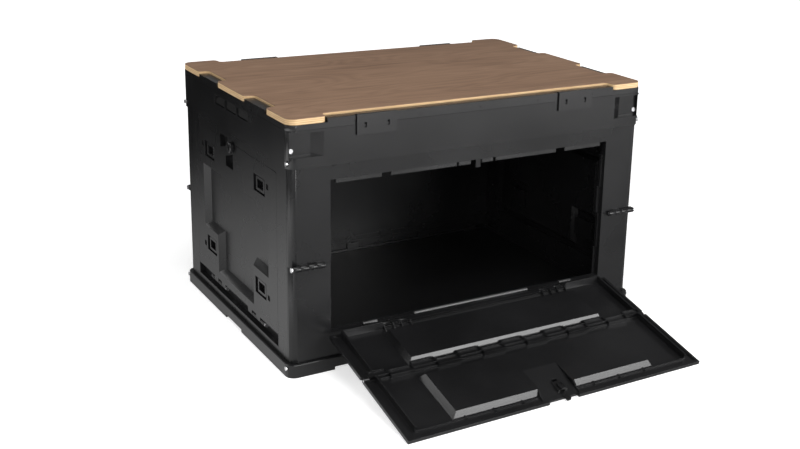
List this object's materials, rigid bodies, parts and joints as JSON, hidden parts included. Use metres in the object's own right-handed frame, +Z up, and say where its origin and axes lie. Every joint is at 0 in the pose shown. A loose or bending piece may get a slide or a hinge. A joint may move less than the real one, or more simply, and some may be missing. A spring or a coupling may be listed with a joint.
{
  "type": "folding storage box",
  "caption": "Folding storage box with a bi-fold front door, side doors in folding end walls, and a clipped lid that carries a lift-off wooden table board.",
  "frame": {"origin": "middle of the base on the ground, on a crossing of the ribs under the floor", "axes": "+X along the long side to the right seen from the front door, -Y out through the front door, +Z up"},
  "size_m": [0.6106, 0.6666, 0.3717],
  "materials": {
    "body_plastic": "satin",
    "lid_plastic": "satin",
    "trim_plastic": "satin",
    "steel": "bright",
    "board_core": "pale plywood edge",
    "board_top": "satin walnut"
  },
  "bodies": {
    "box": {"base_tray": "body_plastic", "front_wall_lower": "body_plastic", "front_wall_upper": "body_plastic", "rear_wall_lower": "body_plastic", "rear_wall_upper": "body_plastic", "wall_fold_pins": "steel", "base_hinge_pins": "steel", "frame_hinge_pins": "steel", "top_frame": "body_plastic", "end_pivot_pins": "steel", "door_hinge_pins": "steel", "rear_clip_left": "lid_plastic", "rear_clip_right": "lid_plastic"},
    "door_lower": {"door_lower_panel": "body_plastic", "door_fold_pin": "steel"},
    "door_upper": {"door_upper_panel": "body_plastic"},
    "bolt": {"door_bolt": "trim_plastic"},
    "left_end": {"left_end_wall": "body_plastic", "left_door_pins": "steel"},
    "right_end": {"right_end_wall": "body_plastic", "right_door_pins": "steel"},
    "left_door": {"left_side_door": "body_plastic", "left_window_rings": "trim_plastic"},
    "right_door": {"right_side_door": "body_plastic", "right_window_rings": "trim_plastic"},
    "left_latch": {"left_side_latch": "trim_plastic"},
    "right_latch": {"right_side_latch": "trim_plastic"},
    "lid": {"lid_panel": "lid_plastic", "clip_pins": "steel"},
    "board": {"lid_board": "board_core", "board_veneer": "board_top"},
    "front_clip_l": {"front_clip_left": "lid_plastic"},
    "front_clip_r": {"front_clip_right": "lid_plastic"}
  },
  "joints": [
    {"name": "front_door_swing", "type": "hinge", "parent": "box", "child": "door_lower", "pos_m": [0, -0.2123, 0.053], "axis": [-1, 0, 0], "range_deg": [0, 102.52]},
    {"name": "front_door_fold", "type": "hinge", "parent": "door_lower", "child": "door_upper", "pos_m": [0, -0.31822, 0.02948], "axis": [1, 0, 0], "range_deg": [0, 140]},
    {"name": "door_bolt_slide", "type": "slide", "parent": "door_upper", "child": "bolt", "axis": [0, -0.9762, -0.2168], "range_m": [0, 0.005]},
    {"name": "left_end_swing", "type": "hinge", "parent": "box", "child": "left_end", "pos_m": [-0.293, 0, 0.326], "axis": [0, -1, 0], "range_deg": [0, 88]},
    {"name": "right_end_swing", "type": "hinge", "parent": "box", "child": "right_end", "pos_m": [0.293, 0, 0.326], "axis": [0, 1, 0], "range_deg": [0, 84]},
    {"name": "left_side_door_swing", "type": "hinge", "parent": "left_end", "child": "left_door", "pos_m": [-0.2941, 0, 0.041], "axis": [0, 1, 0], "range_deg": [-96.5, 0]},
    {"name": "right_side_door_swing", "type": "hinge", "parent": "right_end", "child": "right_door", "pos_m": [0.2941, 0, 0.041], "axis": [0, -1, 0], "range_deg": [-96.5, 0]},
    {"name": "left_latch_turn", "type": "hinge", "parent": "left_door", "child": "left_latch", "pos_m": [-0.29, 0, 0.283], "axis": [1, 0, 0], "range_deg": [0, 90]},
    {"name": "right_latch_turn", "type": "hinge", "parent": "right_door", "child": "right_latch", "pos_m": [0.29, 0, 0.283], "axis": [1, 0, 0], "range_deg": [0, 90]},
    {"name": "lid_swing", "type": "hinge", "parent": "box", "child": "lid", "pos_m": [0, 0.208, 0.3662], "axis": [-1, 0, 0], "range_deg": [0, 110]},
    {"name": "board_lift", "type": "slide", "parent": "lid", "child": "board", "axis": [0, 0, 1], "range_m": [0, 0.05]},
    {"name": "front_clip_left_swing", "type": "hinge", "parent": "lid", "child": "front_clip_l", "pos_m": [-0.169, -0.208, 0.3662], "axis": [-1, 0, 0], "range_deg": [0, 100]},
    {"name": "front_clip_right_swing", "type": "hinge", "parent": "lid", "child": "front_clip_r", "pos_m": [0.169, -0.208, 0.3662], "axis": [-1, 0, 0], "range_deg": [0, 100]}
  ]
}
